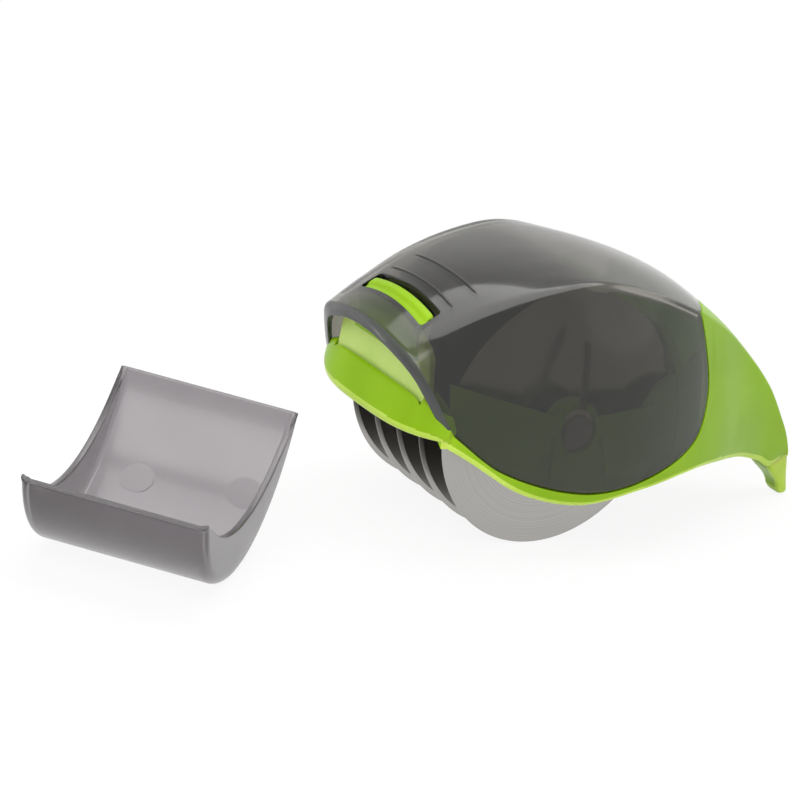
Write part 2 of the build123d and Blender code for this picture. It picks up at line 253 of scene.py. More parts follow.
# The frame's outer shell, from the rim's nose to the tongue's root. One side is laid out as a closed section,
# and its mirror image is joined to it along the crown.
crown_start, crown_end, hollow_end = rear_edge(1.0) + seam_gap, 90.9, 83.5
shell_columns, shell_rows = 210, 44
shell_turns = (0.44, 0.62)
tail_wall, rim_extra, rim_end, rim_fade = 2.0, 2.2, 40.0, 8.0
nose_x, nose_radius = -36.3, 3.0
inner_round, foot_round, seam_round = 0.3, 0.9, 0.6
shell_lines = []
for column in range(shell_columns + 1):
    way = column / shell_columns
    seamed = way <= shell_turns[1]
    roof_level = None
    if way <= shell_turns[0]:
        part = way / shell_turns[0]
        low_share, high_share = part * rim_turn, part * seam_turn
    elif seamed:
        part = (way - shell_turns[0]) / (shell_turns[1] - shell_turns[0])
        low_share = rim_turn + part * rim_back
        high_share = seam_turn + min(1.0, part / roof_part) * (ridge_from - seam_turn)
        if part > roof_part:
            roof_level = ridge_level + (1 - ridge_level) * (part - roof_part) / (1 - roof_part)
            high_x = rear_edge(roof_level) + seam_gap
    else:
        part = (way - shell_turns[1]) / (1 - shell_turns[1])
        low_share = min(rim_turn + rim_back + part * rim_tail, 1.0)
        roof_level = 1.0
        high_x = crown_start + part * (crown_end - crown_start)
    if roof_level is None:
        high_x, high_z = seam(high_share)
        ahead, behind = seam(min(high_share + seam_step, 1.0)), seam(max(high_share - seam_step, 0.0))
        along = Vector((ahead[0] - behind[0], ahead[1] - behind[1])).normalized()
        high_x, high_z = high_x + along.y * seam_gap, high_z - along.x * seam_gap
    low_x, low_z = rim(low_share)
    wall = tail_wall + rim_extra * min(1.0, max(0.0, (rim_end - low_x) / rim_fade))
    sides = []
    for inset, end in ((0.0, crown_end), (wall, hollow_end)):
        foot_x, top_x = min(low_x, end), min(high_x, end)
        foot_z = low_z if low_x <= end else read_rows(rim_points, end)[0][0]
        low = Vector((foot_x, share_at(foot_x, foot_z, inset)))
        level = share_at(top_x, high_z, inset) if roof_level is None else roof_level
        sides.append((low, Vector((top_x, level))))
    low, high = sides[0]
    tall = math.dist((low.x, *skin_point(*low)), (high.x, *skin_point(*high)))
    shell_lines.append((sides, tall, wall, seamed))


def shell_place(column, row, inside):
    """A place on the shell's outer or inner side, with its edges rounded."""
    sides, tall, wall, seamed = shell_lines[column]
    low, high = sides[inside]
    share = spaced(shell_rows, tall)[row]
    x, level = low.lerp(high, share)
    if inside:
        inset = wall - rounding_inset(share * tall, inner_round)
    else:
        nose = rounding_inset(max(0.0, x - nose_x), nose_radius)
        inset = max(nose, rounding_inset(share * tall, foot_round))
        if seamed:
            inset = max(inset, rounding_inset((1 - share) * tall, seam_round))
    y, z = skin_point(x, level, inset)
    if row == shell_rows and not seamed:
        y = 0.0
    return metres(x, -y, z)


def shell_ring(column, row):
    """The shell's section, up its outer side and down its inner one."""
    row %= 2 * shell_rows + 2
    return shell_place(column, min(row, 2 * shell_rows + 1 - row), int(row > shell_rows))


shell = draped("frame_shell", shell_columns, 2 * shell_rows + 2, shell_ring)
bpy.ops.object.mode_set(mode="EDIT")
bpy.ops.mesh.select_mode(type="FACE")
bpy.ops.mesh.select_all(action="DESELECT")
bpy.ops.object.mode_set(mode="OBJECT")
for face in shell.data.polygons:
    face.select = all(abs(shell.data.vertices[index].co.y) < 1e-7 for index in face.vertices)
bpy.ops.object.mode_set(mode="EDIT")
bpy.ops.mesh.delete(type="FACE")
bpy.ops.object.mode_set(mode="OBJECT")
apply_modifier(shell, "MIRROR", use_axis=(False, True, False), merge_threshold=2e-6)
closed(shell)

# The tail's solid end and the tongue under it, a little narrower than the shell and rounded at its tip. Rows
# hold height and place of its back and front, and place and half width.
back_rows = [(-35.0, 95.3), (-26.6, 92.5), (-21.2, 91.0), (-15.6, 88.2), (-7.8, 83.2)]
front_rows = [(-32.0, 90.9), (-28.2, 89.0), (-24.0, 84.5), (-20.6, 83.0), (-10.0, 80.0)]
half_rows = [(78, 7.0), (84, 5.0), (89, 3.6), (93, 2.8), (96, 2.5)]
tongue_top, tongue_foot, tongue_steps = -10.0, -32.0, 44
tip_height, tongue_round = 1.6, 1.6


def ring_of(corners, radius, steps=5):
    """A closed ring with rounded corners, all of one radius or each of its own."""
    ring = []
    for index, corner in enumerate(corners):
        corner = Vector(corner)
        own = radius[index] if isinstance(radius, tuple) else radius
        before = Vector(corners[index - 1]) - corner
        after = Vector(corners[(index + 1) % len(corners)]) - corner
        cut = min(own, 0.48 * before.length, 0.48 * after.length)
        start, end = corner + before.normalized() * cut, corner + after.normalized() * cut
        for step in range(steps + 1):
            t = step / steps
            ring.append(start * (1 - t) ** 2 + corner * 2 * t * (1 - t) + end * t * t)
    return ring


def bar(name, stations, ring_at):
    """A solid bar whose rounded section is given at each of its stations."""
    rings = [ring_at(station) for station in stations]
    count = len(rings[0])
    piece = draped(name, len(stations) - 1, count, lambda column, row: rings[column][row % count])
    closed(piece)
    return piece


def tongue_ring(z):
    """The tongue's level section, drawn in towards the tip."""
    back, front = read_rows(back_rows, z)[0][0], read_rows(front_rows, z)[0][0]
    fall = 1 - math.sqrt(max(0.0, 1 - max(0.0, (tongue_foot + tip_height - z) / tip_height) ** 2))
    back, front = back - fall, front + fall
    widths = [read_rows(half_rows, x)[0][0] * (1 - 0.55 * fall) for x in (front, back)]
    corners = [(front, -widths[0]), (back, -widths[1]), (back, widths[1]), (front, widths[0])]
    return [metres(point.x, point.y, z) for point in ring_of(corners, tongue_round)]


tongue_stations = []
for step in range(tongue_steps + 1):
    sine = math.sin(math.radians(90 * step / tongue_steps))
    tongue_stations.append(tongue_top + (tongue_foot - tongue_top) * sine)
tongue = bar("tongue", tongue_stations, tongue_ring)

# The front lip, a scoop bowed across the front of the rim. It slopes down from the latch to a thick lower
# edge, and its top has a groove for the latch's foot.
lip_half, lip_flat, lip_fall, lip_back, lip_steps = 27.0, 19.0, 8.4, -34.0, 72
lip_rounds = (1.1, 1.0, 1.3, 0.8, 1.5)
groove_place, groove_size = (-38.0, 0, 7.0), (0.0030, 0.0376, 0.0060)


def cut_away(piece, cutter):
    """Cuts one piece with another, which is then removed."""
    apply_modifier(piece, "BOOLEAN", operation="DIFFERENCE", object=cutter, solver="EXACT")
    bpy.data.meshes.remove(cutter.data)
    turned_outwards(piece)


def lip_ring(y):
    """The lip's section, which draws back and gets lower towards its ends."""
    out = abs(y) / lip_half
    nose = -43.4 + 7.6 * out**3
    shelf = max(-40.2 + 4.7 * out**4, nose + 0.3)
    top = 5.9 - 4.5 * max(0.0, (abs(y) - lip_flat) / lip_fall) ** 2
    bottom = -3.4 + 1.2 * out**4
    corners = [(nose + 0.8, bottom), (nose, bottom + 2.0), (shelf, top), (lip_back, top), (lip_back, bottom)]
    return [metres(point.x, y, point.y) for point in ring_of(corners, lip_rounds, 6)]


lip_turns = [math.radians(-90 + 180 * step / lip_steps) for step in range(lip_steps + 1)]
lip = bar("lip", [lip_half * math.sin(turn) for turn in lip_turns], lip_ring)
bpy.ops.object.select_all(action="DESELECT")
bpy.ops.mesh.primitive_cube_add(size=1, location=metres(*groove_place), scale=groove_size)
cut_away(lip, bpy.context.object)

# The liners, standing inside the cover and dipping to the axle, and the inner walls that carry them on to the
# back, set in a little further. Each is one side and its mirror image, and thin ribs stiffen the liners.
liner_inset, liner_step, liner_wall, liner_rows = 2.6, 1.2, 0.0016, 14
liner_tops = [(-34, 10.5), (-4.2, 3.4), (4.2, 3.4), (23, 5.0)]
liner_tail_tops = [(21.4, 5.0), (25.7, 9.5), (43.0, 14.0)]
bush_bore = 5.07
rib_top, rib_length, rib_lean = -1.0, 11.5, 14.3


def eased(piece, width, segments):
    """Takes the sharpness off a piece's edges."""
    sharp = math.radians(50)
    apply_modifier(piece, "BEVEL", width=width, segments=segments, limit_method="ANGLE", angle_limit=sharp)


def liner_sheet(name, tops, inset, columns):
    """A thin wall on both sides, from just over the rim's lower line up to a broken top line."""
    begin, end = tops[0][0], tops[-1][0]

    def liner_place(column, row):
        x = begin + (end - begin) * column / columns
        after = next(index for index in range(1, len(tops)) if x <= tops[index][0] + 1e-6)
        (x0, z0), (x1, z1) = tops[after - 1], tops[after]
        top = z0 + (z1 - z0) * (x - x0) / (x1 - x0)
        bottom = read_rows(rim_points, x)[0][0] + 0.8
        z = bottom + (top - bottom) * row / liner_rows
        return metres(x, -skin_point(x, share_at(x, z, inset), inset).x, z)

    sheet = draped(name, columns, liner_rows, liner_place)
    apply_modifier(sheet, "MIRROR", use_axis=(False, True, False))
    apply_modifier(sheet, "SOLIDIFY", thickness=liner_wall, offset=-1)
    eased(sheet, 0.0003, 2)
    return sheet


def round_bar(radius, length, y):
    """A round bar on the axle's line, in mm."""
    bpy.ops.object.select_all(action="DESELECT")
    bpy.ops.mesh.primitive_cylinder_add(
        vertices=64, radius=radius / 1000, depth=length / 1000, location=metres(0, y, 0),
        rotation=(math.pi / 2, 0, 0),
    )
    bpy.ops.object.transform_apply(location=True, rotation=True, scale=True)
    return bpy.context.object


liner = liner_sheet("liner", liner_tops, liner_inset, 76)
liner_tail = liner_sheet("liner_tail", liner_tail_tops, liner_inset + liner_step, 32)
cut_away(liner, round_bar(bush_bore, 80, 0))
liner_ribs = []
for side in (-1, 1):
    for top, foot in ((-6.8, -6.4), (6.8, 11.0)):

        def liner_rib_ring(z):
            x = top + (foot - top) * (rib_top - z) / rib_lean
            y = skin_point(x, share_at(x, z, liner_inset), liner_inset).x
            corners = [(x - 0.5, y - 0.4), (x + 0.5, y - 0.4), (x + 0.5, y + 0.65), (x - 0.5, y + 0.65)]
            return [metres(point.x, side * point.y, z) for point in ring_of(corners, 0.25, 3)]

        stations = [rib_top - rib_length * step / 16 for step in range(17)]
        liner_ribs.append(bar("liner_rib", stations, liner_rib_ring))

# The bearing pedestals, moulded with the frame, one inside each liner. Each is a drum that is drawn down to
# the rim and bored for its bush.
pedestal_radius, pedestal_length, pedestal_y = 7.0, 4.2, 24.95
drawn_down, drawn_back, drawn_front = 1.2, 0.5, 0.05
pedestals = []
for side in (-1, 1):
    pedestal = round_bar(pedestal_radius, pedestal_length, side * pedestal_y)
    for vertex in pedestal.data.vertices:
        below = axle_height / 1000 - vertex.co.z
        if below > 0:
            vertex.co.z -= below * drawn_down
            vertex.co.x += below * (drawn_back if vertex.co.x > 0 else drawn_front)
    cut_away(pedestal, round_bar(bush_bore, 20, side * pedestal_y))
    eased(pedestal, 0.0003, 2)
    pedestals.append(pedestal)

# The curved wall between the blades and the tail's hollow. It is bent about the axle and runs from side to
# side of the shell, in one piece with it.
wall_columns, wall_rows = 30, 40
wall_radius, wall_from, wall_sweep, wall_inset = 35.0, -19.0, 65.0, 3.0


def wall_place(column, row):
    """A place on the curved wall, from side to side inside the shell."""
    angle = math.radians(wall_from + wall_sweep * column / wall_columns)
    x, z = wall_radius * math.cos(angle), wall_radius * math.sin(angle)
    y = skin_point(x, share_at(x, z, wall_inset), wall_inset).x
    return metres(x, y * (1 - 2 * row / wall_rows), z)


def joined(name, *pieces):
    """One piece from several."""
    bpy.ops.object.select_all(action="DESELECT")
    for piece in pieces:
        piece.select_set(True)
    bpy.context.view_layer.objects.active = pieces[0]
    bpy.ops.object.join()
    pieces[0].name = pieces[0].data.name = name
    return pieces[0]


def polished(piece):
    """Smooth shading that keeps the sharper edges."""
    pick(piece)
    bpy.ops.object.shade_smooth_by_angle(angle=math.radians(40))


back_wall = draped("back_wall", wall_columns, wall_rows, wall_place)
apply_modifier(back_wall, "SOLIDIFY", thickness=0.002, offset=-1)
green_frame = joined("green_frame", shell, tongue, lip, liner, liner_tail, *liner_ribs, *pedestals, back_wall)
polished(green_frame)


def linear(code):
    """An sRGB colour code as the linear colour that a socket takes."""
    parts = [int(code[at:at + 2], 16) / 255 for at in (1, 3, 5)]
    return (*(part / 12.92 if part <= 0.04045 else ((part + 0.055) / 1.055) ** 2.4 for part in parts), 1.0)


def add_node(tree, kind, inputs, stops=(), **settings):
    """Adds a node with its settings and colour stops, and fills its sockets with values or other nodes."""
    made = tree.nodes.new(kind)
    for key, value in settings.items():
        setattr(made, key, value)
    for index, (place, code) in enumerate(stops):
        elements = made.color_ramp.elements
        element = elements[index] if index < 2 else elements.new(place)
        element.position = place
        element.color = linear(code)
    for name, value in inputs.items():
        if isinstance(value, bpy.types.Node):
            value = value.outputs[0]
        if isinstance(value, bpy.types.NodeSocket):
            tree.links.new(value, made.inputs[name])
        else:
            made.inputs[name].default_value = value
    return made


def start_material(name):
    """A new material, its node tree, emptied, and the object's own coordinates in metres."""
    material = bpy.data.materials.new(name)
    material.use_nodes = True
    material.node_tree.nodes.clear()
    places = add_node(material.node_tree, "ShaderNodeTexCoord", {}).outputs["Object"]
    return material, material.node_tree, places


def dress(piece, material):
    """Gives a piece one material."""
    piece.data.materials.clear()
    piece.data.materials.append(material)


# Moulded polypropylene glows a little where light enters its edges. It shows soft clouds of tint some 18 mm
# wide, and a fine grain of about 1 mm, coarser than the mould's so that it shows.
def green_plastic(name, dark, plain, pale, glow):
    material, tree, places = start_material(name)
    clouds = add_node(tree, "ShaderNodeTexNoise", {"Vector": places, "Scale": 55.0, "Detail": 3.0})
    grain = add_node(tree, "ShaderNodeTexNoise", {"Vector": places, "Scale": 900.0, "Detail": 2.0})
    tint = add_node(tree, "ShaderNodeValToRGB", {"Fac": clouds}, [(0.25, dark), (0.52, plain), (0.8, pale)])
    gloss = add_node(tree, "ShaderNodeMapRange", {"Value": grain, "To Min": 0.26, "To Max": 0.40})
    bump = add_node(tree, "ShaderNodeBump", {"Height": grain, "Strength": 0.06, "Distance": 0.0003})
    shader = add_node(
        tree,
        "ShaderNodeBsdfPrincipled",
        {
            "Base Color": tint,
            "Roughness": gloss,
            "Normal": bump,
            "Subsurface Weight": glow,
            "Subsurface Radius": (0.6, 1.0, 0.2),
            "Subsurface Scale": 0.002,
            "Specular IOR Level": 0.15,
        },
    )
    add_node(tree, "ShaderNodeOutputMaterial", {"Surface": shader})
    return material


dress(green_frame, green_plastic("green polypropylene", "#86B012", "#8FBA18", "#99C222", 0.2))

# Along its lower edge the plastic is thin and lets light through. There a paler green is painted on, a
# painted glow that stands in for that light.
glow_green = green_plastic("green polypropylene with painted glow", "#B4D34A", "#C0DC58", "#CBE468", 0.35)
green_frame.data.materials.append(glow_green)
lip_from, lip_edge, rim_last = -37.0, -2.2, 86.0
glow_height, glow_depth, lip_glow_height = 0.75, 3.0, 1.0
# The faces along the rim's and the lip's lower edges take the paler green: painted light, not a different
# plastic.
for face in green_frame.data.polygons:
    x, y, z = face.center * 1000
    on_lip = x < lip_from
    edge = lip_edge if on_lip else read_rows(rim_points, min(x, rim_last))[0][0]
    above = z - axle_height - edge
    thin = above < glow_height and skin_point(x, share_at(x, edge + 2)).x - abs(y) < glow_depth
    face.material_index = int(thin or on_lip and above < lip_glow_height)
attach(green_frame, "base")
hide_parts("base_frame")

# Two plain bushes of natural acetal, turned and pressed into the pedestals, where they carry the axle. Acetal
# is a pale, slightly milky plastic with a dull sheen, and its mottle is some 2.5 mm wide.
material, tree, places = start_material("natural acetal")
mottle = add_node(tree, "ShaderNodeTexNoise", {"Vector": places, "Scale": 400.0, "Detail": 2.0})
tint = add_node(tree, "ShaderNodeValToRGB", {"Fac": mottle}, [(0.3, "#D9D6CB"), (0.7, "#E6E4DB")])
gloss = add_node(tree, "ShaderNodeMapRange", {"Value": mottle, "To Min": 0.35, "To Max": 0.5})
shader = add_node(tree, "ShaderNodeBsdfPrincipled", {"Base Color": tint, "Roughness": gloss})
add_node(tree, "ShaderNodeOutputMaterial", {"Surface": shader})
for name in ("bush_near", "bush_far"):
    dress(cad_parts[name], material)

# Five round blades, punched from stainless strip and ground on both faces, and the axle that they are stacked
# on. Grinding leaves fine rings about the axle, drawn here 0.4 mm wide, coarser than they are, so that they
# show. Smears of about 14 mm break the shine.
material, tree, places = start_material("ground stainless steel")
axle_place = (0.0, 0.0, -axle_height / 1000)
centred = add_node(tree, "ShaderNodeVectorMath", {0: places, 1: axle_place}, operation="ADD")
flat = add_node(tree, "ShaderNodeVectorMath", {0: centred, 1: (1.0, 0.0, 1.0)}, operation="MULTIPLY")
radius = add_node(tree, "ShaderNodeVectorMath", {0: flat}, operation="LENGTH").outputs["Value"]
ring_line = add_node(tree, "ShaderNodeCombineXYZ", {"X": radius})
rings = add_node(tree, "ShaderNodeTexNoise", {"Vector": ring_line, "Scale": 2600.0, "Detail": 2.0})
smears = add_node(tree, "ShaderNodeTexNoise", {"Vector": places, "Scale": 70.0, "Detail": 3.0})
tint = add_node(tree, "ShaderNodeValToRGB", {"Fac": rings}, [(0.3, "#A3A19E"), (0.7, "#B0AEAB")])
gloss = add_node(tree, "ShaderNodeMapRange", {"Value": smears, "To Min": 0.14, "To Max": 0.26})
bump = add_node(tree, "ShaderNodeBump", {"Height": rings, "Strength": 0.04, "Distance": 0.0001})
shader = add_node(
    tree,
    "ShaderNodeBsdfPrincipled",
    {"Base Color": tint, "Metallic": 1.0, "Roughness": gloss, "Normal": bump},
)
add_node(tree, "ShaderNodeOutputMaterial", {"Surface": shader})
for name in ("blade_1", "blade_2", "blade_3", "blade_4", "blade_5", "axle"):
    dress(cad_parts[name], material)

# Spacers between the blades and collars at the ends of the stack, turned from dark nylon, and caps on the
# axle's ends, of grey nylon. Nylon looks soft and slightly waxy, with a faint unevenness some 1.7 mm wide.
stack_pieces = ("spacer_1", "spacer_2", "spacer_3", "spacer_4", "collar_near", "collar_far")
for name, dark, pale, pieces in (
    ("dark nylon", "#201D1A", "#2E2A26", stack_pieces),
    ("grey nylon", "#8C8C90", "#9A9A9E", ("hub_cap_near", "hub_cap_far")),
):
    material, tree, places = start_material(name)
    waxy = add_node(tree, "ShaderNodeTexNoise", {"Vector": places, "Scale": 600.0, "Detail": 2.0})
    tint = add_node(tree, "ShaderNodeValToRGB", {"Fac": waxy}, [(0.3, dark), (0.7, pale)])
    gloss = add_node(tree, "ShaderNodeMapRange", {"Value": waxy, "To Min": 0.4, "To Max": 0.55})
    bump = add_node(tree, "ShaderNodeBump", {"Height": waxy, "Strength": 0.1, "Distance": 0.0002})
    shader = add_node(
        tree, "ShaderNodeBsdfPrincipled", {"Base Color": tint, "Roughness": gloss, "Normal": bump}
    )
    add_node(tree, "ShaderNodeOutputMaterial", {"Surface": shader})
    for piece in pieces:
        dress(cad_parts[piece], material)

# Release latch, moulded in the frame's green. Its wall fills the arch behind the lip and rocks on its foot,
# and its bar comes up through the cover's slot, where a thumb presses it.
cover_wall = 1.6
latch_half, latch_front, latch_foot, latch_gap = 18.5, -38.8, 4.4, 0.7
latch_columns, latch_rows = 60, 20
thumb_half, thumb_flat, thumb_front, thumb_back, thumb_foot = 12.6, 12.0, -39.2, -36.0, 12.0


def roof_over(x, y, inset):
    """The skin's height over a place, taken inwards."""
    share = halving(lambda share: skin_point(x, share, inset).x > abs(y), 0.3, 1.0)
    return skin_point(x, share, inset).y


def latch_place(column, row):
    """A place on the latch's wall, which ends a little under the cover."""
    y = latch_half - 2 * latch_half * column / latch_columns
    top = roof_over(latch_front, y, cover_wall + latch_gap)
    return metres(latch_front, y, latch_foot + (top - latch_foot) * row / latch_rows)


def thumb_ring(y):
    """The thumb bar's section, with a ridge along its back that is flush with the cover."""
    drop = 0.25 * max(0.0, abs(y) - thumb_flat) / (thumb_half - thumb_flat)
    corners = [(thumb_front, thumb_foot)]
    for x, above in ((thumb_front, -0.6), (-37.9, -0.6), (-37.4, 0.1), (thumb_back, 0.1)):
        corners.append((x, roof_over(x, y, 0) + above - drop))
    corners.append((thumb_back, thumb_foot))
    return [metres(point.x, y, point.y) for point in ring_of(corners, 0.35)]


latch_panel = draped("latch_panel", latch_columns, latch_rows, latch_place)
apply_modifier(latch_panel, "SOLIDIFY", thickness=0.0016, offset=-1)
eased(latch_panel, 0.0004, 3)
thumb_stations = [thumb_half * math.sin(math.radians(-90 + 5 * step)) for step in range(37)]
thumb_bar = bar("thumb_bar", thumb_stations, thumb_ring)
# The wall gets a paler green than the bar. This is painted light, for the light that comes through the thin
# wall from behind.
dress(latch_panel, green_plastic("green polypropylene with painted backlight", "#B6D66A", "#C3DF78", "#CEE786", 0.35))
dress(thumb_bar, green_frame.data.materials[0])
green_latch = joined("green_latch", latch_panel, thumb_bar)
polished(green_latch)
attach(green_latch, "latch")
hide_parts("release_latch")

# Smoked cover, a clear shell of grey-tinted SAN, injection moulded, over the blades and open in front and
# below. It drops onto the rim, and the latch's bar holds it by the slot in its front slope.
cover_columns, cover_side_rows = 96, 56
cover_length, cover_girth = 76, 60
bead_height, bead_width = 0.8, 3.0
front_foot, front_run = (-36.0, 1.4), (-20.0, 34.6)
slot_place, slot_size = (-36.85, 0, 26), (0.0053, 0.0262, 0.03)


def front_line(share):
    """The cover's front edge in the side view."""
    return front_foot[0] + front_run[0] * share, front_foot[1] + front_run[1] * share


def front_share(level, end):
    """How far along the front edge, up to an end, it comes to a share of the skin."""
    return halving(lambda share: front_line(share)[1] < skin_point(front_line(share)[0], level).y, 0.0, end)


cover_along = spaced(cover_columns, cover_length)
cover_up = spaced(cover_side_rows, cover_girth, True, False)
cover_low, cover_crown, cover_front, cover_rear = [], [], [], []
front_top = front_share(1.0, 1.0)
for share in cover_along:
    x, z = seam(share * seam_turn)
    cover_low.append(Vector((x, share_at(x, z))))
    cover_crown.append(Vector((front_line(front_top)[0] * (1 - share) + rear_edge(1.0) * share, 1.0)))
for share in cover_up:
    level = cover_low[0].y + (1 - cover_low[0].y) * share
    cover_front.append(Vector((front_line(front_share(level, front_top))[0], level)))
    level = cover_low[-1].y + (1 - cover_low[-1].y) * share
    cover_rear.append(Vector((rear_edge(level), level)))


def cover_place(column, row, inside):
    """A place on the cover's outer or inner side, between its four edges, with a bead along the front."""
    up = min(row, 2 * cover_side_rows - row)
    u, v = cover_along[column], cover_up[up]
    corners = (
        cover_low[0] * (1 - u) * (1 - v) + cover_low[-1] * u * (1 - v)
        + cover_crown[0] * (1 - u) * v + cover_crown[-1] * u * v
    )
    x, level = (
        cover_low[column] * (1 - v) + cover_crown[column] * v
        + cover_front[up] * (1 - u) + cover_rear[up] * u - corners
    )
    near = min(cover_length * u, cover_length * (1 - u), cover_girth * v)
    bead = bead_height * max(0.0, 1 - (cover_length * u / bead_width) ** 4)
    inset = cover_wall + bead - rounding_inset(near, 0.35) if inside else rounding_inset(near, 0.5)
    y, z = skin_point(x, min(level, 1.0), inset)
    side = -1 if row < cover_side_rows else 1
    return metres(x, side * y, z)


def walled(name, columns, rows, place):
    """A solid wall from an outer and an inner sheet, bridged along their edges."""
    outer, inner = (draped(name, columns, rows, place, inside) for inside in (0, 1))
    pick(inner)
    bpy.ops.object.mode_set(mode="EDIT")
    bpy.ops.mesh.select_all(action="SELECT")
    bpy.ops.mesh.flip_normals()
    bpy.ops.object.mode_set(mode="OBJECT")
    wall = joined(name, outer, inner)
    bpy.ops.object.mode_set(mode="EDIT")
    bpy.ops.mesh.select_mode(type="EDGE")
    bpy.ops.mesh.select_all(action="DESELECT")
    bpy.ops.mesh.select_non_manifold(
        extend=False, use_wire=False, use_boundary=True, use_multi_face=False, use_non_contiguous=False,
        use_verts=False,
    )
    bpy.ops.mesh.bridge_edge_loops()
    bpy.ops.object.mode_set(mode="OBJECT")
    turned_outwards(wall)
    return wall


cover_shell = walled("cover_shell", cover_columns, 2 * cover_side_rows, cover_place)
bpy.ops.object.select_all(action="DESELECT")
bpy.ops.mesh.primitive_cube_add(size=1, location=metres(*slot_place), scale=slot_size)
slot_block = bpy.context.object
bpy.ops.object.transform_apply(location=True, rotation=True, scale=True)
for edge in slot_block.data.edges:
    low, high = (slot_block.data.vertices[index].co for index in edge.vertices)
    edge.select = abs(low.z - high.z) > 0.01
bpy.ops.object.mode_set(mode="EDIT")
bpy.ops.mesh.select_mode(type="EDGE")
bpy.ops.mesh.bevel(offset=0.001, segments=5, affect="EDGES")
bpy.ops.object.mode_set(mode="OBJECT")
cut_away(cover_shell, slot_block)

# Inner ribs that steady the cover over the axle's ends, and plain grip ribs across its front slope.
inner_rib_foot, inner_rib_length, inner_rib_root, inner_rib_half = 6.0, 15.0, 1.4, 0.75
grip_half, grip_width, grip_height = 13.2, 0.42, 0.32
ribs = []
for side in (-1, 1):

    def inner_rib_ring(z):
        outer = skin_point(0, share_at(0, z, inner_rib_root), inner_rib_root).x
        inner = skin_point(0, share_at(0, z, liner_inset), liner_inset).x
        thick = inner_rib_half
        corners = [(-thick, outer), (thick, outer), (thick, inner), (-thick, inner)]
        return [metres(point.x, side * point.y, z) for point in ring_of(corners, 0.25, 2)]

    stations = [inner_rib_foot + inner_rib_length * step / 20 for step in range(21)]
    ribs.append(bar("inner_rib", stations, inner_rib_ring))
grip_stations = [grip_half * math.sin(math.radians(-90 + 180 * step / 40)) for step in range(41)]
for middle in (-31.6, -25.4):

    def grip_ring(y):
        end = math.sqrt(max(0.0, 1 - (y / grip_half) ** 8))
        ring = []
        for step in range(12):
            turn = math.radians(360 * step / 12)
            x = middle + grip_width * math.cos(turn) * (0.4 + 0.6 * end)
            ring.append(metres(x, y, roof_over(x, y, 0) + grip_height * math.sin(turn) * end))
        return ring

    ribs.append(bar("grip_rib", grip_stations, grip_ring))
smoked_cover = joined("smoked_cover", cover_shell, *ribs)
polished(smoked_cover)


# Grey-tinted SAN is glass-clear but dark: it shows the frame behind it dimly, and the room as soft
# reflections. The tint's clouds are some 25 mm wide, and a haze of about 6 mm breaks the gloss.
def smoked_plastic(name, dark, plain, smooth, rough, clear):
    material, tree, places = start_material(name)
    clouds = add_node(tree, "ShaderNodeTexNoise", {"Vector": places, "Scale": 40.0, "Detail": 2.0})
    haze = add_node(tree, "ShaderNodeTexNoise", {"Vector": places, "Scale": 160.0, "Detail": 4.0})
    tint = add_node(tree, "ShaderNodeValToRGB", {"Fac": clouds}, [(0.3, dark), (0.7, plain)])
    gloss = add_node(tree, "ShaderNodeMapRange", {"Value": haze, "To Min": smooth, "To Max": rough})
    bump = add_node(tree, "ShaderNodeBump", {"Height": clouds, "Strength": 0.05, "Distance": 0.001})
    shader = add_node(
        tree,
        "ShaderNodeBsdfPrincipled",
        {
            "Base Color": tint,
            "Roughness": gloss,
            "Normal": bump,
            "IOR": 1.5,
            "Specular IOR Level": 0.25,
            "Transmission Weight": clear,
        },
    )
    add_node(tree, "ShaderNodeOutputMaterial", {"Surface": shader})
    return material


dress(smoked_cover, smoked_plastic("smoked SAN", "#8A877F", "#908D85", 0.05, 0.12, 1.0))

# Looked at edge on, the tint adds up, so the shell's rim is nearly opaque.
smoked_cover.data.materials.append(smoked_plastic("smoked SAN rim", "#4E4F50", "#58595A", 0.2, 0.3, 0.35))
rim_depth = 0.35
for face in smoked_cover.data.polygons:
    x, y, z = face.center * 1000
    behind = (x - front_foot[0]) * front_run[1] - (z - axle_height - front_foot[1]) * front_run[0]
    face.material_index = int(behind / math.hypot(*front_run) < rim_depth)
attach(smoked_cover, "cover")
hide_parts("dome_cover")

# Blade guard, a loose trough of the same smoked plastic, moulded with a crescent wall at each end. It is
# pushed onto the blades from below for storage, and lies in front of the tool here.
guard_radius, guard_half, guard_bend, guard_wall = 35.5, 21.7, 2.4, 1.5
guard_from, guard_to, guard_arc, guard_girth = -9.8, -158.2, 92, 85
guard_edge, crescent_height = 1.7, 11.6
guard_columns, guard_floor = 72, 30
guard_spot, guard_turn = (-102.6, -11.5), math.radians(-48.2)


def guard_profile(share, inside):
    """Points across the trough, from one crescent's top edge to the other's, as place along it and depth."""
    deep = guard_edge + crescent_height * (1 - (2 * share - 1) ** 2) ** 0.8
    half, floor = guard_half - inside * guard_wall, inside * guard_wall
    bend = min(guard_bend - inside * guard_wall, 0.8 * (deep - floor))
    turn_depth = floor + bend
    points = []
    for step in spaced(14, deep - turn_depth, True, False):
        fall = rounding_inset(step * max(deep - turn_depth, 0.0), 0.4)
        along = -half - 0.6 * fall if inside else fall - half
        points.append((along, deep - (deep - turn_depth) * step))
    for turn in range(10, 90, 10):
        sine, cosine = math.sin(math.radians(turn)), math.cos(math.radians(turn))
        points.append((bend * (1 - cosine) - half, floor + bend * (1 - sine)))
    for step in range(guard_floor // 2 + 1):
        points.append(((bend - half) * (1 - 2 * step / guard_floor), floor))
    return points + [(-along, depth) for along, depth in reversed(points[:-1])]


guard_across = spaced(guard_columns, guard_girth)
guard_lines = [[guard_profile(share, inside) for share in guard_across] for inside in (0, 1)]


def guard_point(along, side, up):
    """A place along, beside and above the middle of the guard's arc, in the shared frame."""
    x = guard_spot[0] + along * math.cos(guard_turn) - side * math.sin(guard_turn)
    y = guard_spot[1] + along * math.sin(guard_turn) + side * math.cos(guard_turn)
    return Vector((x, y, up + guard_radius)) / 1000


